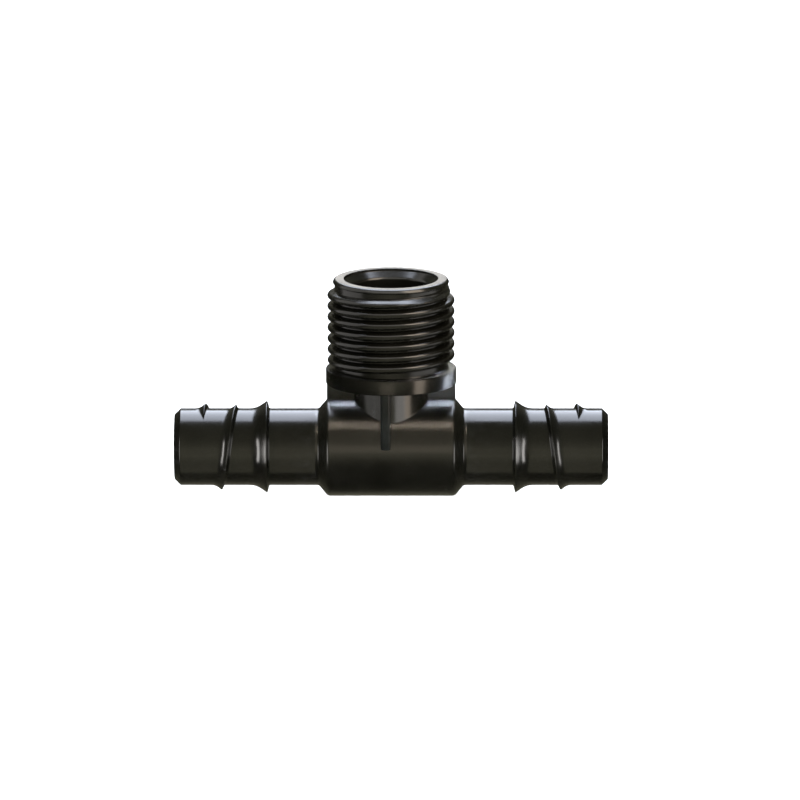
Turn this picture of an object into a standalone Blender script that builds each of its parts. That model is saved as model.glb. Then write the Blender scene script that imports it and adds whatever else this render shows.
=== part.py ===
"""Barbed tee connector: a 16 mm tube run with a G 1/2 male threaded branch.

The run lies along X and the branch points up along +Z. The origin is on the ground,
straight below the crossing of the two axes. Radii and heights of the branch are given
from that crossing, and everything is in metres.
"""

import math

import bmesh
import bpy

MM = 0.001

# ---------------------------------------------------------------- driving dimensions
FACETS = 48  # facets round every turned section
GAP = 0.3 * MM  # clearance between neighbouring sections

# run: two barbed spigots plugged into a centre barrel
HALF_LENGTH = 35.75 * MM
SPIGOT_R = 6.35 * MM
RUN_BORE_R = 4.7 * MM
NOSE_CHAMFER = 1.0 * MM
BARREL_R = 8.1 * MM
BARREL_HALF = 10.45 * MM
SOCKET_FLOOR = 7.3 * MM  # distance of each spigot socket's floor from the branch axis

# ring barb, distances from the branch axis
RING_CREST_R = 7.55 * MM
RING_BACK = 20.3 * MM
RING_CREST = 20.7 * MM
RING_RAMP_END = 22.5 * MM

# helical barb: one turn, from the nose end inwards over the back
HELIX_CREST_R = 7.1 * MM
HELIX_START = 30.9 * MM  # crest at the top, nose end
HELIX_PITCH = 5.2 * MM
HELIX_RUN_OUT = math.radians(32)
HELIX_RAMP = 1.3 * MM
HELIX_STEEP = 0.4 * MM

# branch, heights from the crossing of the axes
NECK_R = 6.1 * MM
NECK_BORE_R = 4.6 * MM
NECK_FOOT = 3.9 * MM
FLANGE_R = 10.75 * MM
FLANGE_UNDER = 10.95 * MM
FLANGE_TOP = 13.4 * MM
NECK_SOCKET_TOP = 12.0 * MM
RECESS_R = 8.3 * MM  # recess in the flange's top face for the branch's spigot
RECESS_FLOOR = 12.5 * MM
RIM_TOP = 28.4 * MM
BRANCH_BORE_R = 6.6 * MM
MOUTH_R = 7.75 * MM
MOUTH_DEPTH = 1.4 * MM
MOUTH_WALL = 0.4 * MM  # upright part of the mouth above its cone
BORE_CONE_TOP = 15.6 * MM
BORE_CONE_FOOT = 13.9 * MM

# G 1/2 parallel thread, right-hand
THREAD_CREST_R = 20.955 / 2 * MM
THREAD_ROOT_R = 18.631 / 2 * MM
THREAD_PITCH = 25.4 / 14 * MM
THREAD_FLANK = math.radians(27.5)
THREAD_CREST_HALF = 0.17 * MM
THREAD_EMBED = 0.2 * MM  # depth of the ridge's foot inside the tube
THREAD_FIRST = 14.32 * MM  # crest height where the thread starts
THREAD_TURNS = 6.82
THREAD_START_ANGLE = math.radians(93.75)  # half a facet off the tube's own edges
THREAD_RUN_OUT = math.radians(75)

# gussets under the flange
RIB_THICK = 1.6 * MM
RIB_MIDDLE = -0.85 * MM  # the ribs stand this far left of the branch axis
WEB_THICK = 1.2 * MM
RIB_TOP_REACH = 10.4 * MM
RIB_FOOT_REACH = 8.7 * MM
RIB_FOOT = 1.3 * MM
WEB_REACH = 10.6 * MM

AXIS_Z = BARREL_R  # height of the run axis above the ground

BLACK_PP = (0.006, 0.006, 0.0052)
SMOOTH_ANGLE = math.radians(30)


# ---------------------------------------------------------------- scene helpers
def empty_scene():
    for obj in list(bpy.data.objects):
        bpy.data.objects.remove(obj, do_unlink=True)


def new_collection(name):
    collection = bpy.data.collections.new(name)
    bpy.context.scene.collection.children.link(collection)
    return collection


def moulded_black(name, roughness):
    """Principled material of one section: black polypropylene."""
    material = bpy.data.materials.new(name + "_plastic")
    material.use_nodes = True
    shader = material.node_tree.nodes["Principled BSDF"]
    shader.inputs["Base Color"].default_value = (*BLACK_PP, 1.0)
    shader.inputs["Roughness"].default_value = roughness
    shader.inputs["Metallic"].default_value = 0.0
    return material


def link_mesh(name, mesh, collection):
    obj = bpy.data.objects.new(name, mesh)
    collection.objects.link(obj)
    return obj


def turned(name, profile, collection, along=(0.0, 0.0, 0.0)):
    """Closed (radius, height) profile turned round local Z; `along` turns Z to the part's axis.

    The profile starts at the top of its outer side and runs down it.
    """
    count = len(profile)
    mesh = bpy.data.meshes.new(name)
    points = [(radius, 0.0, height) for radius, height in profile]
    edges = [(i, (i + 1) % count) for i in range(count)]
    mesh.from_pydata(points, edges, [])
    obj = link_mesh(name, mesh, collection)
    obj.location = (0.0, 0.0, AXIS_Z)
    obj.rotation_euler = along
    screw = obj.modifiers.new("turn", "SCREW")
    screw.axis = "Z"
    screw.angle = math.tau
    screw.steps = FACETS
    screw.render_steps = FACETS
    screw.use_merge_vertices = True
    screw.merge_threshold = 1e-6
    return obj


def rod(name, radius, low, high, collection, along=(0.0, 0.0, 0.0)):
    """Solid cylinder between two heights on local Z, used as a cutter."""
    mesh = bpy.data.meshes.new(name)
    shape = bmesh.new()
    bmesh.ops.create_cone(
        shape, cap_ends=True, segments=FACETS, radius1=radius, radius2=radius, depth=high - low
    )
    bmesh.ops.translate(shape, verts=shape.verts, vec=(0.0, 0.0, (high + low) / 2))
    shape.to_mesh(mesh)
    shape.free()
    obj = link_mesh(name, mesh, collection)
    obj.location = (0.0, 0.0, AXIS_Z)
    obj.rotation_euler = along
    obj.hide_render = True
    obj.display_type = "WIRE"
    return obj


def combine(obj, other, operation):
    boolean = obj.modifiers.new(operation.lower(), "BOOLEAN")
    boolean.operation = operation
    boolean.solver = "EXACT"
    boolean.object = other


def settle(obj, roughness):
    """Turns the modifiers into plain mesh, shades it and gives it its material."""
    depsgraph = bpy.context.evaluated_depsgraph_get()
    mesh = bpy.data.meshes.new_from_object(obj.evaluated_get(depsgraph))
    obj.modifiers.clear()
    obj.data = mesh
    mesh.materials.clear()
    mesh.materials.append(moulded_black(obj.name, roughness))
    mesh.shade_smooth()
    mesh.set_sharp_from_angle(angle=SMOOTH_ANGLE)
    return obj


# ---------------------------------------------------------------- helical ridges
def helical_ridge(name, section, turn, place, steps, run_out_steps, collection):
    """Closed ridge swept along a helix, shrinking to nothing at both ends.

    section: (depth above the core, offset along the axis) points of the full ridge, foot first
    turn(i): (angle, distance along the axis) of step i
    place(angle, radius, distance): the point in space
    """
    mesh = bpy.data.meshes.new(name)
    shape = bmesh.new()
    rings = []
    for step in range(steps + 1):
        angle, distance = turn(step)
        size = min(1.0, (step + 0.1) / run_out_steps, (steps - step + 0.1) / run_out_steps)
        ring = []
        for radius, offset in section(size):
            ring.append(shape.verts.new(place(angle, radius, distance + offset)))
        rings.append(ring)
    count = len(rings[0])
    for first, second in zip(rings, rings[1:]):
        for i in range(count):
            j = (i + 1) % count
            shape.faces.new((first[i], first[j], second[j], second[i]))
    shape.faces.new(rings[0])
    shape.faces.new(rings[-1])
    bmesh.ops.recalc_face_normals(shape, faces=shape.faces)
    shape.to_mesh(mesh)
    shape.free()
    obj = link_mesh(name, mesh, collection)
    obj.hide_render = True
    obj.display_type = "WIRE"
    return obj


def barb_section(size):
    """Saw-tooth section: steep towards the barrel, a ramp towards the nose."""
    foot = SPIGOT_R - 0.3 * MM
    crest = SPIGOT_R + (HELIX_CREST_R - SPIGOT_R) * size
    return [
        (foot, -HELIX_STEEP * size),
        (SPIGOT_R, -HELIX_STEEP * size),
        (crest, 0.0),
        (SPIGOT_R, HELIX_RAMP * size),
        (foot, HELIX_RAMP * size),
    ]


def thread_section(size):
    """Thread ridge with straight flanks and a flat crest."""
    foot = THREAD_ROOT_R - THREAD_EMBED
    crest = THREAD_ROOT_R + (THREAD_CREST_R - THREAD_ROOT_R) * size
    crest_half = THREAD_CREST_HALF * size
    foot_half = crest_half + (crest - foot) * math.tan(THREAD_FLANK)
    return [(foot, -foot_half), (crest, -crest_half), (crest, crest_half), (foot, foot_half)]


def helical_barb(side, collection):
    """One turn of barb on the spigot at side (+1 right, -1 left)."""
    step_angle = math.tau / FACETS
    run_out_steps = round(HELIX_RUN_OUT / step_angle)
    steps = FACETS + 2 * run_out_steps

    def turn(step):
        angle = (step - run_out_steps) * step_angle
        return angle, HELIX_START - HELIX_PITCH * angle / math.tau

    def place(angle, radius, distance):
        # the angle is counted from the top towards the back
        across = radius * math.sin(angle)
        up = AXIS_Z + radius * math.cos(angle)
        return (side * distance, across, up)

    name = "right_barb_ridge" if side > 0 else "left_barb_ridge"
    return helical_ridge(name, barb_section, turn, place, steps, run_out_steps, collection)


def thread_ridge(collection):
    step_angle = math.tau / FACETS
    run_out_steps = round(THREAD_RUN_OUT / step_angle)
    steps = round(THREAD_TURNS * FACETS)

    def turn(step):
        angle = THREAD_START_ANGLE + step * step_angle
        return angle, THREAD_FIRST + THREAD_PITCH * step / FACETS

    def place(angle, radius, distance):
        return (radius * math.cos(angle), radius * math.sin(angle), AXIS_Z + distance)

    return helical_ridge("thread_ridge", thread_section, turn, place, steps, run_out_steps, collection)


# ---------------------------------------------------------------- the sections
TO_PLUS_X = (0.0, math.radians(90), 0.0)
TO_MINUS_X = (0.0, math.radians(-90), 0.0)


def run_barrel(parts, cutters):
    """Centre barrel: a socket for a spigot at each end and one for the neck on top."""
    collar_r = SPIGOT_R + GAP
    face = BARREL_HALF + (BARREL_R - collar_r)
    profile = [
        (collar_r, face),
        (BARREL_R, BARREL_HALF),
        (BARREL_R, -BARREL_HALF),
        (collar_r, -face),
        (collar_r, -SOCKET_FLOOR),
        (RUN_BORE_R, -SOCKET_FLOOR),
        (RUN_BORE_R, SOCKET_FLOOR),
        (collar_r, SOCKET_FLOOR),
    ]
    barrel = turned("run_barrel", profile, parts, TO_PLUS_X)
    neck_hole = rod("neck_hole", NECK_R + GAP, NECK_FOOT - GAP, BARREL_R + MM, cutters)
    combine(barrel, neck_hole, "DIFFERENCE")
    return settle(barrel, 0.28)


def barbed_spigot(side, parts, cutters):
    """Hose spigot: tube with a ring barb, a helical barb and a chamfered nose."""
    name = "right_barbed_spigot" if side > 0 else "left_barbed_spigot"
    profile = [
        (SPIGOT_R - NOSE_CHAMFER, HALF_LENGTH),
        (SPIGOT_R, HALF_LENGTH - NOSE_CHAMFER),
        (SPIGOT_R, RING_RAMP_END),
        (RING_CREST_R, RING_CREST),
        (SPIGOT_R, RING_BACK),
        (SPIGOT_R, SOCKET_FLOOR + GAP),
        (RUN_BORE_R, SOCKET_FLOOR + GAP),
        (RUN_BORE_R, HALF_LENGTH),
    ]
    spigot = turned(name, profile, parts, TO_PLUS_X if side > 0 else TO_MINUS_X)
    combine(spigot, helical_barb(side, cutters), "UNION")
    return settle(spigot, 0.25)


def branch_neck(parts, cutters):
    """Short tube between barrel and flange, saddled over the run bore at its foot."""
    top = NECK_SOCKET_TOP - GAP
    profile = [(NECK_R, top), (NECK_R, NECK_FOOT), (NECK_BORE_R, NECK_FOOT), (NECK_BORE_R, top)]
    neck = turned("branch_neck", profile, parts)
    saddle = rod("run_clearance", RUN_BORE_R + GAP, -BARREL_HALF, BARREL_HALF, cutters, TO_PLUS_X)
    combine(neck, saddle, "DIFFERENCE")
    return settle(neck, 0.28)


def branch_flange(parts):
    """Round flange: neck socket below, shallow recess for the threaded branch above."""
    profile = [
        (FLANGE_R, FLANGE_TOP),
        (FLANGE_R, FLANGE_UNDER),
        (NECK_R + GAP, FLANGE_UNDER),
        (NECK_R + GAP, NECK_SOCKET_TOP),
        (NECK_BORE_R, NECK_SOCKET_TOP),
        (NECK_BORE_R, RECESS_FLOOR),
        (RECESS_R, RECESS_FLOOR),
        (RECESS_R, FLANGE_TOP),
    ]
    return settle(turned("branch_flange", profile, parts), 0.28)


def threaded_branch(parts, cutters):
    """Male threaded tube: spigot foot, shoulder on the flange, wider mouth."""
    spigot_r = RECESS_R - GAP
    foot = RECESS_FLOOR + GAP
    shoulder = FLANGE_TOP + GAP
    profile = [
        (THREAD_ROOT_R, RIM_TOP),
        (THREAD_ROOT_R, shoulder),
        (spigot_r, shoulder),
        (spigot_r, foot),
        (NECK_BORE_R, foot),
        (NECK_BORE_R, BORE_CONE_FOOT),
        (BRANCH_BORE_R, BORE_CONE_TOP),
        (BRANCH_BORE_R, RIM_TOP - MOUTH_DEPTH),
        (MOUTH_R, RIM_TOP - MOUTH_WALL),
        (MOUTH_R, RIM_TOP),
    ]
    tube = turned("threaded_branch", profile, parts)
    combine(tube, thread_ridge(cutters), "UNION")
    return settle(tube, 0.25)


def gusset(name, outline, thickness, parts, cutters):
    """Flat plate of the given outline, fitted round the barrel and the neck."""
    mesh = bpy.data.meshes.new(name)
    shape = bmesh.new()
    shape.faces.new([shape.verts.new(point) for point in outline])
    shape.to_mesh(mesh)
    shape.free()
    plate = link_mesh(name, mesh, parts)
    plate.location = (0.0, 0.0, AXIS_Z)
    solid = plate.modifiers.new("thickness", "SOLIDIFY")
    solid.thickness = thickness
    solid.offset = 0.0
    combine(plate, cutters["barrel_clearance"], "DIFFERENCE")
    combine(plate, cutters["neck_clearance"], "DIFFERENCE")
    return settle(plate, 0.32)


def gussets(parts, cutter_collection):
    """A sloping rib in front and behind, and a square web on each side, under the flange."""
    barrel_clearance = rod(
        "barrel_clearance", BARREL_R + GAP, -HALF_LENGTH, HALF_LENGTH, cutter_collection, TO_PLUS_X
    )
    neck_clearance = rod("neck_clearance", NECK_R + GAP, 0.0, FLANGE_TOP, cutter_collection)
    cutters = {"barrel_clearance": barrel_clearance, "neck_clearance": neck_clearance}
    top = FLANGE_UNDER - GAP
    inner = NECK_R / 2
    for name, side in (("front_rib", -1), ("back_rib", 1)):
        outline = [
            (RIB_MIDDLE, side * inner, RIB_FOOT),
            (RIB_MIDDLE, side * RIB_FOOT_REACH, RIB_FOOT),
            (RIB_MIDDLE, side * RIB_TOP_REACH, top),
            (RIB_MIDDLE, side * inner, top),
        ]
        gusset(name, outline, RIB_THICK, parts, cutters)
    for name, side in (("left_web", -1), ("right_web", 1)):
        outline = [
            (side * inner, 0.0, BARREL_R - MM),
            (side * WEB_REACH, 0.0, BARREL_R - MM),
            (side * WEB_REACH, 0.0, top),
            (side * inner, 0.0, top),
        ]
        gusset(name, outline, WEB_THICK, parts, cutters)


def main():
    empty_scene()
    parts = new_collection("barbed_tee_connector")
    cutters = new_collection("cutters")
    run_barrel(parts, cutters)
    for side in (-1, 1):
        barbed_spigot(side, parts, cutters)
    branch_neck(parts, cutters)
    branch_flange(parts)
    threaded_branch(parts, cutters)
    gussets(parts, cutters)


main()
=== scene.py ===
"""Looks of the barbed tee connector: fine moulded surfaces in black polypropylene.

Every section of the CAD frame is stood for by a finer closed mesh of the same size. The
run lies along X and the threaded branch points up. Distances along the run and heights on
the branch count from the crossing of the two axes, and everything is in metres.
"""

import math

import bmesh
import bpy
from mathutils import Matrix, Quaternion, Vector

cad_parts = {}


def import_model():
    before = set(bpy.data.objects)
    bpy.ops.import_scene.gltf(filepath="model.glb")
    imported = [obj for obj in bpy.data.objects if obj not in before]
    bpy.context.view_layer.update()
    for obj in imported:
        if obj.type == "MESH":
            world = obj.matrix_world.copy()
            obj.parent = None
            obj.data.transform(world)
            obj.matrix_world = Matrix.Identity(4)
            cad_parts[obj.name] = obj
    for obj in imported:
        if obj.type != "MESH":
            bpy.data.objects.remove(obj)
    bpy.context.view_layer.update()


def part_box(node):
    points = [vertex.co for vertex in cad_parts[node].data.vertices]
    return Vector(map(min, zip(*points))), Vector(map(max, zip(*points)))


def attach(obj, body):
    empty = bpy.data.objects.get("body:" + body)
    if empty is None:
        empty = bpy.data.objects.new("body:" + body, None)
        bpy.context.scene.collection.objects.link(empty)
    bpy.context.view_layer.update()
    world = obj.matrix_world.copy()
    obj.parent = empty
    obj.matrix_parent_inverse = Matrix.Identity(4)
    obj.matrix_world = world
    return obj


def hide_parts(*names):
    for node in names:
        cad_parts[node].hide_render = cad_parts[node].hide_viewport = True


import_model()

MM = 0.001
SIDES = 192  # columns round every turned section
ARC_STEPS = 5  # segments of each rounded corner
ROW_SPACING = 0.15 * MM  # largest step across a helical ridge
WELD = 0.97e-6  # points closer than this are one vertex
LEAST_SIZE = 0.001  # what is left of a helical ridge beyond its ends
SHARP_ANGLE = math.radians(35)
SEAM_LIP = 0.006 * MM  # a section's feather edge stands this proud of its neighbour
SINK = 0.15 * MM  # how deep hidden ends reach into their neighbour

# ---------------------------------------------------------------- sizes read from the frame
barrel_low, barrel_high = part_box("run_barrel")
spigot_low, spigot_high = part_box("right_barbed_spigot")
neck_low, neck_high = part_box("branch_neck")
flange_low, flange_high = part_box("branch_flange")
branch_low, branch_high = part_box("threaded_branch")
rib_low, rib_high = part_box("front_rib")
web_low, web_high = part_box("right_web")

AXIS_Z = (barrel_low.z + barrel_high.z) / 2
BARREL_R = (barrel_high.z - barrel_low.z) / 2
HALF_LENGTH = spigot_high.x
RING_CREST_R = (spigot_high.z - spigot_low.z) / 2
NECK_R = neck_high.x
NECK_TOP = neck_high.z - AXIS_Z
FLANGE_R = flange_high.x
FLANGE_UNDER = flange_low.z - AXIS_Z
FLANGE_TOP = flange_high.z - AXIS_Z
BRANCH_FOOT = branch_low.z - AXIS_Z
RIM_TOP = branch_high.z - AXIS_Z
RIB_THICK = rib_high.x - rib_low.x
RIB_MIDDLE = (rib_low.x + rib_high.x) / 2
WEB_THICK = web_high.y - web_low.y
RIB_TOP_REACH = -rib_low.y
RIB_FOOT = rib_low.z - AXIS_Z
WEB_REACH = web_high.x

# ---------------------------------------------------------------- run
SPIGOT_R = 6.35 * MM
RUN_BORE_R = 4.7 * MM
BORE_LEAD = 0.15 * MM  # chamfer of the bore at the nose
BORE_LEAD_ROUND = 0.04 * MM
NOSE_CHAMFER = 1.0 * MM
NOSE_TIP_ROUND = 0.15 * MM
NOSE_ROUND = 0.3 * MM
SOCKET_FLOOR = 7.45 * MM  # where the spigot's hidden end stops in the barrel
SHOULDER = 10.45 * MM  # where the barrel's 45 degree shoulder starts
SHOULDER_LENGTH = 1.5 * MM
SHOULDER_ROUND = 1.0 * MM  # at its top
SHOULDER_FILLET = 0.6 * MM  # at its foot
SHOULDER_SEAM = 0.5 * MM  # how far the barrel's feather edge runs on along the spigot
DRILL_PAST = 1.0 * MM  # how far the drill comes out above the barrel

# ring barb
RING_BACK = 20.1 * MM
RING_CREST = 20.45 * MM
RING_RAMP = 1.85 * MM
RING_HOLLOW = 3.5 * MM  # radius of the hollow ramp
RING_TRIMMED = 0.075 * MM  # what the rounding takes off the crest
CREST_ROUND = 0.12 * MM
BACK_FILLET = 0.25 * MM

# helical barb, one turn from the nose end inwards over the back
BARB_HEIGHT = 0.75 * MM
BARB_START = 30.75 * MM  # crest at the top, nose end
BARB_PITCH = 5.2 * MM
BARB_STEEP = 0.4 * MM
BARB_RAMP = 1.03 * MM
BARB_HOLLOW = 2.2 * MM
BARB_TRIMMED = 0.06 * MM  # what the rounding takes off the crest
BARB_RUN_OUT = 32.0  # degrees
BARB_STRAIGHT = 0.8  # how straight its ends run, against the helix
BARB_FROM = 23.9 * MM  # its rows are kept between this
BARB_TO = 34.0 * MM  # and this

# ---------------------------------------------------------------- branch
NECK_BORE_R = 4.6 * MM
SADDLE_FILLET = 0.2 * MM
UNDER_FILLET = 0.45 * MM  # between neck and flange
UNDER_SEAM = 0.55 * MM  # how far the flange's feather edge runs down the neck
SEAT_FILLET = 0.2 * MM  # between flange and threaded tube
SEAT_SEAM = 0.25 * MM  # how far the flange's feather edge runs up the tube
BRANCH_BORE_R = 6.6 * MM
MOUTH_R = 7.75 * MM
MOUTH_DEPTH = 1.4 * MM
MOUTH_WALL = 0.4 * MM
MOUTH_ROUND = 0.7 * MM  # where the mouth runs into the bore
MOUTH_STEP_ROUND = 0.1 * MM
RIM_INNER_ROUND = 0.06 * MM
RIM_ROUND = 0.5 * MM
COLLAR_R = 9.6 * MM  # the plain collar widens from the rim down to this
COLLAR_LIFT = 0.2 * MM  # its widest place is this far above the thread's last row
COLLAR_ROUND = 0.1 * MM
BORE_CONE_TOP = 15.6 * MM
BORE_CONE_FOOT = 13.9 * MM
BORE_CONE_ROUND = 0.3 * MM
PLAIN_BORE = 2.0 * MM  # straight bore drawn above the cone
BRANCH_SPIGOT_R = 8.0 * MM

# G 1/2 thread
THREAD_CREST_R = 20.955 / 2 * MM
THREAD_ROOT_R = 18.631 / 2 * MM
THREAD_PITCH = 25.4 / 14 * MM
THREAD_CREST_HALF = 0.33 * MM
THREAD_FLANK_RUN = 0.5 * MM
THREAD_ROUND = 0.5 * MM
THREAD_ROOT_ROUND = 0.03 * MM
THREAD_FIRST = 14.32 * MM  # crest height where the thread starts
THREAD_START = 93.75  # degrees from +X, anticlockwise from above
THREAD_END = THREAD_START + 6.82 * 360
THREAD_RUN_OUT = 75.0  # degrees
THREAD_FROM = 13.6 * MM  # its rows are kept between this
THREAD_TO = 27.6 * MM  # and this
LEAD_FROM = 26.1 * MM  # the lead-in chamfer cuts the crests from this height on
LEAD_SLOPE = 1.4  # what it takes off the radius for each height
LEAD_LEAST = 0.3 * MM  # it never cuts closer to the root than this
LEAD_ROUND = 0.12 * MM  # how softly it meets the ridge

RIB_FOOT_REACH = 8.7 * MM
EDGE_ROUND = 0.15 * MM
RIB_ROUND = 0.35 * MM
GUSSET_STEPS = 4  # segments across a gusset's rounded edge


# ---------------------------------------------------------------- outlines and meshes
def rounded(corners):
    """Outline through (across, along, bend) corners, each turned into an arc of radius bend."""
    outline = [tuple(corners[0][:2])]
    for before, corner, after in zip(corners, corners[1:], corners[2:]):
        here = Vector(corner[:2])
        bend = corner[2]
        if bend == 0.0:
            outline.append(tuple(here))
            continue
        back = (Vector(before[:2]) - here).normalized()
        ahead = (Vector(after[:2]) - here).normalized()
        half = back.angle(ahead) / 2
        centre = here + (back + ahead).normalized() * (bend / math.sin(half))
        start = here + back * (bend / math.tan(half)) - centre
        end = here + ahead * (bend / math.tan(half)) - centre
        first = math.atan2(start.y, start.x)
        turn = math.remainder(math.atan2(end.y, end.x) - first, math.tau)
        for step in range(ARC_STEPS + 1):
            angle = first + turn * step / ARC_STEPS
            outline.append((centre.x + bend * math.cos(angle), centre.y + bend * math.sin(angle)))
    outline.append(tuple(corners[-1][:2]))
    return outline


def refined(outline, spacing):
    """The same outline with points no further apart than spacing."""
    finer = [outline[0]]
    for (a, b), (c, d) in zip(outline, outline[1:]):
        steps = max(1, math.ceil(math.hypot(c - a, d - b) / spacing))
        finer += [(a + (c - a) * i / steps, b + (d - b) * i / steps) for i in range(1, steps + 1)]
    return finer


def height_at(section, position):
    """Height of a (position, height) section, zero outside it."""
    for (a, low), (b, high) in zip(section, section[1:]):
        if a <= position <= b and b > a:
            return low + (high - low) * (position - a) / (b - a)
    return 0.0


def wrapped(name, columns):
    """Closed mesh through closed columns of points; the last column lies on the first."""
    shape = bmesh.new()
    welded = {}

    def vertex(point):
        cell = tuple(round(value / WELD) for value in point)
        if cell not in welded:
            welded[cell] = shape.verts.new(point)
        return welded[cell]

    rows = [[vertex(point) for point in column] for column in columns]
    for left, right in zip(rows, rows[1:]):
        for i in range(len(left)):
            j = (i + 1) % len(left)
            ring = []
            for corner in (left[i], right[i], right[j], left[j]):
                if corner not in ring:
                    ring.append(corner)
            if len(ring) > 2:
                shape.faces.new(ring)
    bmesh.ops.recalc_face_normals(shape, faces=shape.faces)
    return piece(name, shape)


def piece(name, shape):
    """Puts a shape into the scene as an object of its own."""
    mesh = bpy.data.meshes.new(name)
    shape.to_mesh(mesh)
    shape.free()
    obj = bpy.data.objects.new(name, mesh)
    bpy.context.scene.collection.objects.link(obj)
    return obj


def angles():
    """Column angles in degrees, the first and the last in the same place."""
    return [360.0 * column / SIDES for column in range(SIDES + 1)]


def turned(name, outline_at, place):
    """Closed mesh round an axis.

    outline_at(angle): the (radius, distance) outline at that angle
    place(angle, radius, distance): the point itself
    """
    columns = []
    for angle in angles():
        columns.append([place(angle, radius, distance) for radius, distance in outline_at(angle)])
    return wrapped(name, columns)


def along_run(angle, radius, distance):
    """Point on the run; the angle is counted from the top towards the back."""
    turn = math.radians(angle)
    return (distance, radius * math.sin(turn), AXIS_Z + radius * math.cos(turn))


def up_branch(angle, radius, height):
    """Point on the branch; the angle is counted from +X, anticlockwise from above."""
    turn = math.radians(angle)
    return (radius * math.cos(turn), radius * math.sin(turn), AXIS_Z + height)


class Helix:
    """Ridge of a given (offset, height) section wound round a cylinder.

    first: distance of the crest at the angle origin
    pitch: distance from turn to turn, negative for a left-hand helix
    begin, end: angles of its ends, counted on from turn to turn
    run_out: angle over which each end fades
    straight: how far the ends turn out of the helix, 0 to 1; without it they don't narrow
    """

    def __init__(self, section, first, pitch, origin, begin, end, run_out, straight=None):
        self.section = section
        self.first = first
        self.pitch = pitch
        self.origin = origin
        self.begin = begin
        self.end = end
        self.run_out = run_out
        self.narrows = straight is not None
        self.straight = straight or 0.0

    def shift(self, total):
        """How far the ridge's ends stand off the helix; this fades halfway to the next turn."""
        low = self.begin + self.run_out
        high = self.end - self.run_out
        over = total - max(low, min(high, total))
        over = max(-self.run_out, min(self.run_out, over))
        return self.straight * self.pitch * over / 360

    def height(self, angle, distance):
        """Height of the ridge over the cylinder at this angle and distance."""
        turns = (distance - self.first) / self.pitch - (angle - self.origin) / 360
        nearest = round(turns)
        total = angle + 360 * nearest
        shift = self.shift(total)
        offset = (turns - nearest) * self.pitch + shift
        offset /= 1 + math.copysign(shift / abs(self.pitch / 2), offset)
        size = min((total - self.begin) / self.run_out, (self.end - total) / self.run_out)
        size = max(LEAST_SIZE, min(1.0, size))
        width = size if self.narrows else 1.0
        return size * height_at(self.section, offset / width)

    def rows(self, angle, low, high):
        """Distances of the rows at this angle, from high to low, kept between the two."""
        step = abs(self.pitch)
        start = self.first - self.pitch * self.origin / 360
        lowest = math.floor((min(low, low - self.pitch) - start) / step) - 1
        highest = math.ceil((max(high, high - self.pitch) - start) / step) + 1
        found = []
        for turn in range(highest, lowest - 1, -1):
            total = angle + 360 * turn * step / self.pitch
            crest = start + turn * step + self.pitch * angle / 360
            shift = self.shift(total)
            for offset, _ in reversed(self.section[:-1]):
                distance = crest + offset - shift * (1 - abs(offset) / abs(self.pitch / 2))
                found.append(min(high, max(low, distance)))
        return found


# ---------------------------------------------------------------- sections of the run
def barb_helix():
    """Saw-tooth barb: steep towards the barrel, a ramp with a hollow foot towards the nose."""
    half = BARB_PITCH / 2
    section = rounded(
        [
            (-half, 0.0, 0.0),
            (-BARB_STEEP, 0.0, BACK_FILLET),
            (0.0, BARB_HEIGHT + BARB_TRIMMED, CREST_ROUND),
            (BARB_RAMP, 0.0, BARB_HOLLOW),
            (half, 0.0, 0.0),
        ]
    )
    return Helix(
        refined(section, ROW_SPACING),
        first=BARB_START,
        pitch=-BARB_PITCH,
        origin=0.0,
        begin=-BARB_RUN_OUT,
        end=360 + BARB_RUN_OUT,
        run_out=BARB_RUN_OUT,
        straight=BARB_STRAIGHT,
    )


def spigot(name, side):
    """Hose spigot: chamfered nose, helical barb and ring barb on a tube."""
    helix = barb_helix()
    nose = rounded(
        [
            (RUN_BORE_R, HALF_LENGTH / 2, 0.0),
            (RUN_BORE_R, HALF_LENGTH - BORE_LEAD, 0.0),
            (RUN_BORE_R + BORE_LEAD, HALF_LENGTH, BORE_LEAD_ROUND),
            (SPIGOT_R - NOSE_CHAMFER, HALF_LENGTH, NOSE_TIP_ROUND),
            (SPIGOT_R, HALF_LENGTH - NOSE_CHAMFER, NOSE_ROUND),
            (SPIGOT_R, BARB_TO, 0.0),
        ]
    )
    rest = rounded(
        [
            (SPIGOT_R, BARB_FROM, 0.0),
            (SPIGOT_R, RING_CREST + RING_RAMP, RING_HOLLOW),
            (RING_CREST_R + RING_TRIMMED, RING_CREST, CREST_ROUND),
            (SPIGOT_R, RING_BACK, BACK_FILLET),
            (SPIGOT_R, SOCKET_FLOOR - SINK, 0.0),
            (RUN_BORE_R, SOCKET_FLOOR - SINK, 0.0),
        ]
    )

    def outline_at(angle):
        distances = helix.rows(angle, BARB_FROM, BARB_TO)
        wound = [(SPIGOT_R + helix.height(angle, distance), distance) for distance in distances]
        return nose + wound + rest

    def place(angle, radius, distance):
        return along_run(angle, radius, side * distance)

    return turned(name, outline_at, place)


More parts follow.
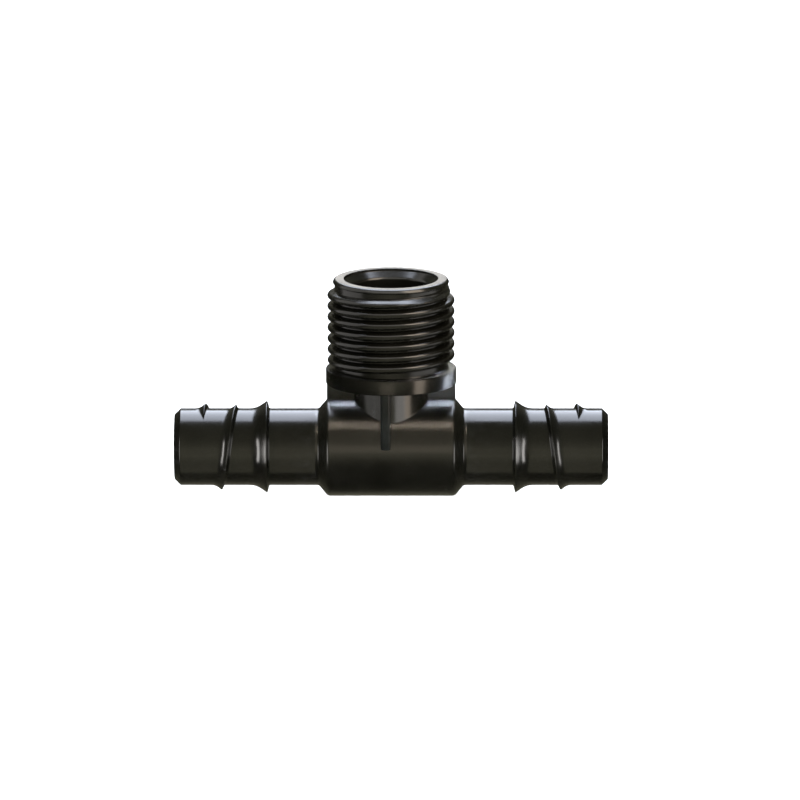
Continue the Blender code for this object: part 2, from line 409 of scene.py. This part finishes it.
def barrel(name):
    """Centre barrel with a filleted shoulder running out on each spigot, drilled for the neck."""
    foot = SHOULDER + SHOULDER_LENGTH
    half = rounded(
        [
            (RUN_BORE_R, 0.0, 0.0),
            (RUN_BORE_R, SOCKET_FLOOR, 0.0),
            (SPIGOT_R - SINK, SOCKET_FLOOR, 0.0),
            (SPIGOT_R - SINK, foot + SHOULDER_SEAM, 0.0),
            (SPIGOT_R + SEAM_LIP, foot + SHOULDER_SEAM, 0.0),
            (SPIGOT_R + SEAM_LIP, foot, SHOULDER_FILLET),
            (BARREL_R, SHOULDER, SHOULDER_ROUND),
            (BARREL_R, 0.0, 0.0),
        ]
    )
    outline = half + [(radius, -distance) for radius, distance in reversed(half[1:-1])]
    made = turned(name, lambda angle: outline, along_run)
    drill(made, NECK_BORE_R, 0.0, BARREL_R + DRILL_PAST)
    return made


def drill(obj, radius, low, high):
    """Cuts a round vertical hole between two heights on the branch axis."""
    shape = bmesh.new()
    bmesh.ops.create_cone(
        shape, cap_ends=True, segments=SIDES, radius1=radius, radius2=radius, depth=high - low
    )
    bmesh.ops.translate(shape, verts=shape.verts, vec=(0.0, 0.0, AXIS_Z + (low + high) / 2))
    cutter = piece("drill", shape)
    cut = obj.modifiers.new("drilled", "BOOLEAN")
    cut.operation = "DIFFERENCE"
    cut.solver = "EXACT"
    cut.object = cutter
    settle(obj)
    bpy.data.objects.remove(cutter)


def settle(obj):
    """Turns the modifiers into plain mesh."""
    depsgraph = bpy.context.evaluated_depsgraph_get()
    mesh = bpy.data.meshes.new_from_object(obj.evaluated_get(depsgraph))
    obj.modifiers.clear()
    obj.data = mesh


# ---------------------------------------------------------------- sections of the branch
def neck(name):
    """Neck: a tube that meets the barrel in a filleted saddle."""
    steps = 2 * ARC_STEPS
    top = NECK_TOP + SINK
    columns = []
    for angle in angles():
        turn = math.radians(angle)
        outward = Vector((math.cos(turn), math.sin(turn), 0.0))
        centre = outward * (NECK_R + SADDLE_FILLET)
        centre.z = math.sqrt((BARREL_R + SADDLE_FILLET) ** 2 - centre.y**2)
        to_barrel = Vector((0.0, -centre.y, -centre.z)).normalized()
        arc = [
            centre + (-outward).slerp(to_barrel, step / steps) * SADDLE_FILLET
            for step in range(steps + 1)
        ]
        sunk = arc[-1] + to_barrel * 2 * SINK - outward * SINK
        inner = outward * NECK_BORE_R
        inner.z = math.sqrt((BARREL_R - 4 * SINK) ** 2 - inner.y**2)
        outline = [outward * NECK_R + Vector((0, 0, top)), *arc, sunk, inner]
        outline.append(outward * NECK_BORE_R + Vector((0, 0, top)))
        columns.append([point + Vector((0, 0, AXIS_Z)) for point in outline])
    return wrapped(name, columns)


def flange(name):
    """Flange disc with a fillet down to the neck and one up to the threaded tube."""
    outline = rounded(
        [
            (NECK_R - SINK, BRANCH_FOOT, 0.0),
            (NECK_R - SINK, FLANGE_UNDER - UNDER_SEAM, 0.0),
            (NECK_R + SEAM_LIP, FLANGE_UNDER - UNDER_SEAM, 0.0),
            (NECK_R + SEAM_LIP, FLANGE_UNDER, UNDER_FILLET),
            (FLANGE_R, FLANGE_UNDER, EDGE_ROUND),
            (FLANGE_R, FLANGE_TOP, EDGE_ROUND),
            (THREAD_ROOT_R + SEAM_LIP, FLANGE_TOP, SEAT_FILLET),
            (THREAD_ROOT_R + SEAM_LIP, FLANGE_TOP + SEAT_SEAM, 0.0),
            (THREAD_ROOT_R - SINK, FLANGE_TOP + SEAT_SEAM, 0.0),
            (THREAD_ROOT_R - SINK, BRANCH_FOOT, 0.0),
        ]
    )
    return turned(name, lambda angle: outline, up_branch)


def thread_helix():
    """Round-crested G 1/2 thread that gets lower at both ends."""
    half = THREAD_PITCH / 2
    depth = THREAD_CREST_R - THREAD_ROOT_R
    foot = THREAD_CREST_HALF + THREAD_FLANK_RUN
    section = rounded(
        [
            (-half, 0.0, 0.0),
            (-foot, 0.0, THREAD_ROOT_ROUND),
            (-THREAD_CREST_HALF, depth, THREAD_ROUND),
            (THREAD_CREST_HALF, depth, THREAD_ROUND),
            (foot, 0.0, THREAD_ROOT_ROUND),
            (half, 0.0, 0.0),
        ]
    )
    return Helix(
        refined(section, ROW_SPACING),
        first=THREAD_FIRST,
        pitch=THREAD_PITCH,
        origin=THREAD_START,
        begin=THREAD_START,
        end=THREAD_END,
        run_out=THREAD_RUN_OUT,
    )


def under_lead(radius, height):
    """What the lead-in chamfer leaves of the thread's radius at a height."""
    lead = THREAD_CREST_R - LEAD_SLOPE * (height - LEAD_FROM)
    lead = max(THREAD_ROOT_R + LEAD_LEAST, lead)
    return (radius + lead - math.hypot(radius - lead, LEAD_ROUND)) / 2


def threaded_branch(name):
    """Male threaded tube with a chamfered mouth and a bore that narrows to the neck's."""
    helix = thread_helix()
    mouth = rounded(
        [
            (BRANCH_BORE_R, (BORE_CONE_TOP + RIM_TOP) / 2, 0.0),
            (BRANCH_BORE_R, RIM_TOP - MOUTH_DEPTH, MOUTH_ROUND),
            (MOUTH_R, RIM_TOP - MOUTH_WALL, MOUTH_STEP_ROUND),
            (MOUTH_R, RIM_TOP, RIM_INNER_ROUND),
            (THREAD_ROOT_R, RIM_TOP, RIM_ROUND),
            (COLLAR_R, THREAD_TO + COLLAR_LIFT, COLLAR_ROUND),
            (THREAD_ROOT_R, THREAD_TO, 0.0),
        ]
    )
    foot_and_bore = rounded(
        [
            (THREAD_ROOT_R, THREAD_FROM, 0.0),
            (THREAD_ROOT_R, FLANGE_TOP - SINK, 0.0),
            (BRANCH_SPIGOT_R, FLANGE_TOP - SINK, 0.0),
            (BRANCH_SPIGOT_R, BRANCH_FOOT - SINK, 0.0),
            (NECK_BORE_R, BRANCH_FOOT - 4 * SINK, 0.0),
            (NECK_BORE_R, BORE_CONE_FOOT, BORE_CONE_ROUND),
            (BRANCH_BORE_R, BORE_CONE_TOP, BORE_CONE_ROUND),
            (BRANCH_BORE_R, BORE_CONE_TOP + PLAIN_BORE, 0.0),
        ]
    )

    def outline_at(angle):
        wound = []
        for height in helix.rows(angle, THREAD_FROM, THREAD_TO):
            ridge = THREAD_ROOT_R + helix.height(angle, height)
            wound.append((under_lead(ridge, height), height))
        return mouth + wound + foot_and_bore

    return turned(name, outline_at, up_branch)


# ---------------------------------------------------------------- gussets
def gusset(name, outline, thickness, edge_round):
    """Flat plate of the given outline with rounded edges."""
    shape = bmesh.new()
    shape.faces.new([shape.verts.new(point) for point in outline])
    plate = piece(name, shape)
    solid = plate.modifiers.new("thickness", "SOLIDIFY")
    solid.thickness = thickness
    solid.offset = 0.0
    edges = plate.modifiers.new("edges", "BEVEL")
    edges.width = edge_round
    edges.segments = GUSSET_STEPS
    edges.limit_method = "ANGLE"
    settle(plate)
    return plate


def rib(name, side):
    """Tapered rib in front of or behind the neck, its hidden sides sunk in its neighbours."""
    top = FLANGE_UNDER + SINK
    inner = NECK_R - SINK
    low = math.sqrt(BARREL_R**2 - inner**2) - 3 * SINK
    outline = [
        (RIB_MIDDLE, side * inner, AXIS_Z + low),
        (RIB_MIDDLE, side * (BARREL_R - 2 * SINK), AXIS_Z + RIB_FOOT),
        (RIB_MIDDLE, side * RIB_FOOT_REACH, AXIS_Z + RIB_FOOT),
        (RIB_MIDDLE, side * RIB_TOP_REACH, AXIS_Z + top),
        (RIB_MIDDLE, side * inner, AXIS_Z + top),
    ]
    return gusset(name, outline, RIB_THICK, RIB_ROUND)


def web(name, side):
    """Square web on one side of the neck, its hidden sides sunk in its neighbours."""
    inner = NECK_R - 2 * SINK
    low = AXIS_Z + BARREL_R - 2 * SINK
    top = AXIS_Z + FLANGE_UNDER + SINK
    outline = [
        (side * inner, 0.0, low),
        (side * WEB_REACH, 0.0, low),
        (side * WEB_REACH, 0.0, top),
        (side * inner, 0.0, top),
    ]
    return gusset(name, outline, WEB_THICK, EDGE_ROUND)


# ---------------------------------------------------------------- material
BLACK = (0.0036, 0.0036, 0.0027)
# teal tint on the front rib alone: a painted reflection of the room in front, not a colour of the
# plastic
FRONT_RIB_PAINTED_REFLECTION = (0.0058, 0.0085, 0.0085)
RUBBED = (0.035, 0.035, 0.036)  # what rubbed edges fade to
DARKEST = 0.75  # the clouds run from this share of the tint
LIGHTEST = 1.5  # to this one

# how fine each noise is: features for each metre
CLOUDS = 160.0
FLOW_LINES = 700.0
SCUFFS = 900.0
GRAIN = 5200.0

PLASTIC_IOR = 1.49
GRAIN_ROUGHNESS = 0.02  # how much the grain adds or takes
RUBBED_ROUGHNESS = 0.15  # how much a rubbed edge adds
BUMP_STRENGTH = 0.12
BUMP_HEIGHT = 0.02 * MM
BODY_ROUGHNESS = 0.21
ARM_ROUGHNESS = 0.2
NECK_ROUGHNESS = 0.22
RIB_ROUGHNESS = 0.4
WEB_ROUGHNESS = 0.3


class Graph:
    """Shader nodes of one material or world."""

    def __init__(self, owner):
        owner.use_nodes = True
        self.nodes = owner.node_tree.nodes
        self.links = owner.node_tree.links

    def feed(self, socket, value):
        """Gives an input a plain value, or the output of another node."""
        if isinstance(value, bpy.types.NodeSocket):
            self.links.new(value, socket)
        else:
            socket.default_value = value

    def noise(self, place, scale, detail):
        node = self.nodes.new("ShaderNodeTexNoise")
        self.feed(node.inputs["Scale"], scale)
        self.feed(node.inputs["Detail"], detail)
        self.feed(node.inputs["Vector"], place)
        return node.outputs["Fac"]

    def remap(self, value, low, high, to_low=0.0, to_high=1.0):
        node = self.nodes.new("ShaderNodeMapRange")
        self.feed(node.inputs["Value"], value)
        self.feed(node.inputs["From Min"], low)
        self.feed(node.inputs["From Max"], high)
        self.feed(node.inputs["To Min"], to_low)
        self.feed(node.inputs["To Max"], to_high)
        return node.outputs["Result"]

    def mix(self, factor, a, b, blend="MIX"):
        """Colour between a and b, or a blended with b."""
        node = self.nodes.new("ShaderNodeMix")
        node.data_type = "RGBA"
        node.blend_type = blend
        self.feed(node.inputs["Factor"], factor)
        self.feed(node.inputs["A"], a)
        self.feed(node.inputs["B"], b)
        return node.outputs["Result"]

    def math(self, operation, *values):
        node = self.nodes.new("ShaderNodeMath")
        node.operation = operation
        for socket, value in zip(node.inputs, values):
            self.feed(socket, value)
        return node.outputs["Value"]

    def ramp(self, value, stops, low=-1.0, high=1.0):
        """Grey ramp of (position, brightness) stops along a value."""
        node = self.nodes.new("ShaderNodeValToRGB")
        self.feed(node.inputs["Fac"], self.remap(value, low, high))
        elements = node.color_ramp.elements
        while len(elements) < len(stops):
            elements.new(0.5)
        for element, (position, brightness) in zip(elements, stops):
            element.position = (position - low) / (high - low)
            element.color = (brightness, brightness, brightness, 1.0)
        return node.outputs["Color"]


def shade_of(colour, share=1.0):
    """Colour with an alpha, at a share of its brightness."""
    return (*(share * value for value in colour), 1.0)


def black_polypropylene(name, roughness, tint):
    """Moulded black plastic: cloudy gloss, faint flow lines, fine grain and rubbed edges."""
    material = bpy.data.materials.new(name)
    graph = Graph(material)
    shader = graph.nodes["Principled BSDF"]
    place = graph.nodes.new("ShaderNodeTexCoord").outputs["Object"]
    pointiness = graph.nodes.new("ShaderNodeNewGeometry").outputs["Pointiness"]
    clouds = graph.noise(place, CLOUDS, 3.0)
    grain = graph.noise(place, GRAIN, 2.0)
    scuffs = graph.noise(place, SCUFFS, 4.0)
    flow_lines = graph.noise(place, FLOW_LINES, 2.0)

    cloudy = graph.remap(clouds, 0.35, 0.65)
    body = graph.mix(cloudy, shade_of(tint, DARKEST), shade_of(tint, LIGHTEST))
    edge = graph.remap(pointiness, 0.53, 0.62)
    worn = graph.math("MULTIPLY", edge, graph.remap(scuffs, 0.4, 0.65, 0.0, 0.5))
    graph.feed(shader.inputs["Base Color"], graph.mix(worn, body, shade_of(RUBBED)))
    graph.feed(shader.inputs["IOR"], PLASTIC_IOR)

    patchy = graph.remap(clouds, 0.3, 0.7, roughness - 0.04, roughness + 0.05)
    speckle = graph.remap(grain, 0.3, 0.7, -GRAIN_ROUGHNESS, GRAIN_ROUGHNESS)
    speckled = graph.math("ADD", patchy, speckle)
    rubbed = graph.math("MULTIPLY", worn, RUBBED_ROUGHNESS)
    graph.feed(shader.inputs["Roughness"], graph.math("ADD", speckled, rubbed))

    bump = graph.nodes.new("ShaderNodeBump")
    graph.feed(bump.inputs["Strength"], BUMP_STRENGTH)
    graph.feed(bump.inputs["Distance"], BUMP_HEIGHT)
    graph.feed(bump.inputs["Height"], graph.math("ADD", grain, flow_lines))
    graph.feed(shader.inputs["Normal"], bump.outputs["Normal"])
    return material


def dress(obj, node, roughness, tint=BLACK):
    """Shades a piece, gives it its plastic and puts it in the place of its CAD node."""
    obj.data.materials.clear()
    obj.data.materials.append(black_polypropylene(obj.name + "_plastic", roughness, tint))
    obj.data.shade_smooth()
    obj.data.set_sharp_from_angle(angle=SHARP_ANGLE)
    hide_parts(node)
    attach(obj, "root")
    return obj


# ---------------------------------------------------------------- studio
CAMERA_AZIMUTH = 0.6  # degrees, as are all the azimuths and elevations below
CAMERA_ELEVATION = 12.8
CAMERA_LENS = 400.0
CAMERA_SENSOR = 36.0
PICTURE_WIDTH = 132.0 * MM  # what the frame spans at the object
AIM_RIGHT = 1.45 * MM
AIM_UP = 7.69 * MM
LIGHT_DISTANCE = 0.6

LAVENDER = (0.80, 0.86, 1.0)
WARM = (1.0, 0.84, 0.68)
WHITE = (1.0, 0.97, 0.94)
OLIVE = (1.0, 0.97, 0.7)
NEUTRAL = (1.0, 1.0, 1.0)

# brightness of the room by height, from straight down (-1) to straight up (1)
FRONT_WALL = (
    (-1.0, 0.02),
    (-0.6, 0.06),
    (-0.33, 0.28),
    (-0.16, 0.75),
    (0.09, 0.78),
    (0.22, 0.57),
    (0.53, 0.34),
    (1.0, 0.26),
)
BACK_WALL = (
    (-1.0, 0.05),
    (-0.7, 0.3),
    (-0.3, 0.15),
    (0.0, 0.05),
    (0.2, 0.15),
    (0.5, 0.3),
    (1.0, 0.26),
)
# share of the back wall, from in front of the object (-1) to behind it (1)
FRONT_TO_BACK = ((-0.12, 0.0), (0.12, 1.0))
# brightness kept from the middle (0) out to either side (1)
SIDE_SHADE = ((0.0, 1.0), (0.3, 0.75), (0.6, 0.35), (0.95, 0.12))
ROOM_TINT = (1.0, 0.96, 0.70, 1.0)

FLOOR_HALF = 2.0
FLOOR_GREY = (0.8, 0.8, 0.8, 1.0)
FLOOR_ROUGHNESS = 0.9


def direction(azimuth, elevation):
    """Unit vector from the object towards a point seen at this azimuth and elevation.

    Azimuth 0 is the front, 90 the right-hand side and 180 the back.
    """
    turn = math.radians(azimuth)
    rise = math.radians(elevation)
    level = math.cos(rise)
    return Vector((math.sin(turn) * level, -math.cos(turn) * level, math.sin(rise)))


def camera():
    """Long lens from the front, rolled a little so that the run lies level."""
    data = bpy.data.cameras.new("camera")
    data.lens = CAMERA_LENS
    data.sensor_width = CAMERA_SENSOR
    data.clip_start = 0.05
    data.clip_end = 20.0
    obj = bpy.data.objects.new("camera", data)
    bpy.context.scene.collection.objects.link(obj)
    back = direction(CAMERA_AZIMUTH, CAMERA_ELEVATION)
    level = (-back).to_track_quat("-Z", "Y")
    right = level @ Vector((1.0, 0.0, 0.0))
    up = level @ Vector((0.0, 1.0, 0.0))
    run = Vector((right.x, up.x))
    roll = Quaternion((0.0, 0.0, 1.0), math.atan2(run.y, run.x))
    aim = Vector((0.0, 0.0, AXIS_Z)) + right * AIM_RIGHT + up * AIM_UP
    obj.location = aim + back * (PICTURE_WIDTH * CAMERA_LENS / CAMERA_SENSOR)
    obj.rotation_mode = "QUATERNION"
    obj.rotation_quaternion = level @ roll
    bpy.context.scene.camera = obj


def softbox(name, azimuth, elevation, spread, radiance, colour, lit=(), shadowless=False):
    """Rectangular light facing the object.

    spread: degrees that it spans across and up, seen from the object
    radiance: how bright its face looks
    lit: the only pieces that it lights, or all of them if empty
    shadowless: nothing shades it
    """
    width, height = (2 * LIGHT_DISTANCE * math.tan(math.radians(angle / 2)) for angle in spread)
    data = bpy.data.lights.new(name, "AREA")
    data.shape = "RECTANGLE"
    data.size = width
    data.size_y = height
    data.energy = radiance * math.pi * width * height
    data.color = colour
    obj = bpy.data.objects.new(name, data)
    bpy.context.scene.collection.objects.link(obj)
    away = direction(azimuth, elevation)
    obj.location = Vector((0.0, 0.0, AXIS_Z)) + away * LIGHT_DISTANCE
    obj.rotation_mode = "QUATERNION"
    obj.rotation_quaternion = away.to_track_quat("Z", "Y")
    obj.visible_camera = False
    if lit:
        obj.light_linking.receiver_collection = group(name + "_lit", lit)
    if shadowless:
        data.use_shadow = False
        data.cycles.use_multiple_importance_sampling = False


def group(name, members):
    """Collection that only says which pieces a light deals with."""
    collection = bpy.data.collections.new(name)
    for member in members:
        collection.objects.link(member)
    return collection


def lights(run, branch, ground):
    """Soft studio light: an overhead box at the back, side strips and a warm strip in front."""
    barrel_piece, left, right = run
    neck_tube, disc, tube, *gussets = branch
    web_right = gussets[-1]
    softbox("overhead", 180.0, 56.5, (36.0, 56.0), 7.8, LAVENDER)

    # the arms, and the barrel's two rounded ends
    for side, arm in ((-1, left), (1, right)):
        softbox(arm.name + "_strip", side * 56.0, -1.0, (12.0, 50.0), 11.0, WHITE, (arm,))
        softbox(arm.name + "_inner", side * -62.0, -1.0, (24.0, 44.0), 5.0, WHITE, (arm,))
        softbox(arm.name + "_edge", side * 50.0, -6.0, (16.0, 34.0), 6.0, WHITE, (barrel_piece,))
    softbox("arms_below", 0.0, -42.0, (50.0, 60.0), 0.42, OLIVE, (left, right))

    # the neck, with the flange and the gussets in the first
    softbox("front_right", 52.0, 8.0, (20.0, 70.0), 4.2, WARM, (neck_tube, disc, *gussets))
    softbox("front_soft", 28.0, 8.0, (32.0, 70.0), 3.0, WHITE, (neck_tube,))
    softbox("neck_left", -68.0, -5.0, (80.0, 40.0), 1.0, WHITE, (neck_tube,))

    # the thread
    softbox("thread_front", -5.0, 47.0, (70.0, 26.0), 1.9, WHITE, (tube,))
    softbox("thread_top", 180.0, 84.0, (60.0, 10.0), 9.0, LAVENDER, (tube,))
    softbox("thread_right", 52.0, 38.0, (32.0, 40.0), 7.0, WARM, (tube,))
    softbox("thread_side", 72.0, -13.0, (60.0, 36.0), 1.2, WHITE, (tube,))
    softbox("thread_left", -88.0, 18.0, (60.0, 76.0), 1.1, WHITE, (tube,))
    softbox("thread_below", 10.0, -58.0, (100.0, 60.0), 0.4, OLIVE, (tube,))

    # the flange and one web
    softbox("right_back", 116.0, -13.0, (18.0, 50.0), 6.0, LAVENDER, (disc,), True)
    softbox("right_far", 135.0, -13.0, (20.0, 50.0), 1.8, LAVENDER, (disc,), True)
    softbox("disc_back", 177.0, 13.0, (6.0, 14.0), 0.9, WHITE, (disc,), True)
    softbox("disc_front", -6.0, -13.0, (24.0, 16.0), 0.8, WARM, (disc,))
    softbox("web_light", 0.0, -14.0, (24.0, 24.0), 1.6, LAVENDER, (web_right,))

    # the rim of the thread
    softbox("rim_strip", 180.0, 14.0, (18.0, 12.0), 2.2, WHITE, (tube,))

    # the barrel
    softbox("warm_strip", 0.0, 64.5, (60.0, 14.0), 4.5, WARM, (barrel_piece,), True)
    softbox("barrel_upper", 0.0, 34.0, (60.0, 30.0), 0.28, WARM, (barrel_piece,))
    softbox("barrel_front", 0.0, 8.0, (60.0, 18.0), 0.7, WARM, (barrel_piece,))
    softbox("barrel_top", 180.0, 48.0, (60.0, 26.0), 4.8, LAVENDER, (barrel_piece,), True)

    softbox("floor_fill", 0.0, 90.0, (100.0, 100.0), 2.2, NEUTRAL, (ground,), True)


def world():
    """Dim room: a pale table edge in front, a pale wall low at the back, dark sides."""
    made = bpy.data.worlds.new("room")
    graph = Graph(made)
    place = graph.nodes.new("ShaderNodeTexCoord").outputs["Generated"]
    split = graph.nodes.new("ShaderNodeSeparateXYZ")
    graph.feed(split.inputs["Vector"], place)

    front = graph.ramp(split.outputs["Z"], FRONT_WALL)
    back = graph.ramp(split.outputs["Z"], BACK_WALL)
    walls = graph.mix(graph.ramp(split.outputs["Y"], FRONT_TO_BACK), front, back)
    aside = graph.math("ABSOLUTE", split.outputs["X"])
    room = graph.mix(1.0, walls, graph.ramp(aside, SIDE_SHADE, 0.0, 1.0), "MULTIPLY")
    tinted = graph.mix(1.0, room, ROOM_TINT, "MULTIPLY")
    graph.feed(graph.nodes["Background"].inputs["Color"], tinted)
    bpy.context.scene.world = made


def floor():
    """Plain pale floor that neither shows in the gloss nor throws a shadow."""
    shape = bmesh.new()
    bmesh.ops.create_grid(shape, x_segments=1, y_segments=1, size=FLOOR_HALF)
    obj = piece("floor", shape)
    material = bpy.data.materials.new("pale_floor")
    graph = Graph(material)
    shader = graph.nodes["Principled BSDF"]
    graph.feed(shader.inputs["Base Color"], FLOOR_GREY)
    graph.feed(shader.inputs["Roughness"], FLOOR_ROUGHNESS)
    obj.data.materials.append(material)
    obj.visible_glossy = False
    obj.visible_shadow = False
    return obj


# ---------------------------------------------------------------- putting it together
def main():
    """Makes every piece, then the camera, the room, the floor and the lights."""
    bpy.context.scene.view_settings.view_transform = "Standard"
    run = [
        dress(barrel("barrel"), "run_barrel", BODY_ROUGHNESS),
        dress(spigot("left_spigot", -1), "left_barbed_spigot", ARM_ROUGHNESS),
        dress(spigot("right_spigot", 1), "right_barbed_spigot", ARM_ROUGHNESS),
    ]
    branch = [
        dress(neck("neck"), "branch_neck", NECK_ROUGHNESS),
        dress(flange("flange"), "branch_flange", BODY_ROUGHNESS),
        dress(threaded_branch("thread_tube"), "threaded_branch", BODY_ROUGHNESS),
        # the front rib's teal tint is a painted reflection; the back rib keeps the plain black
        dress(rib("rib_front", -1), "front_rib", RIB_ROUGHNESS, FRONT_RIB_PAINTED_REFLECTION),
        dress(rib("rib_back", 1), "back_rib", RIB_ROUGHNESS),
        dress(web("web_left", -1), "left_web", WEB_ROUGHNESS),
        dress(web("web_right", 1), "right_web", WEB_ROUGHNESS),
    ]
    camera()
    world()
    lights(run, branch, floor())


main()
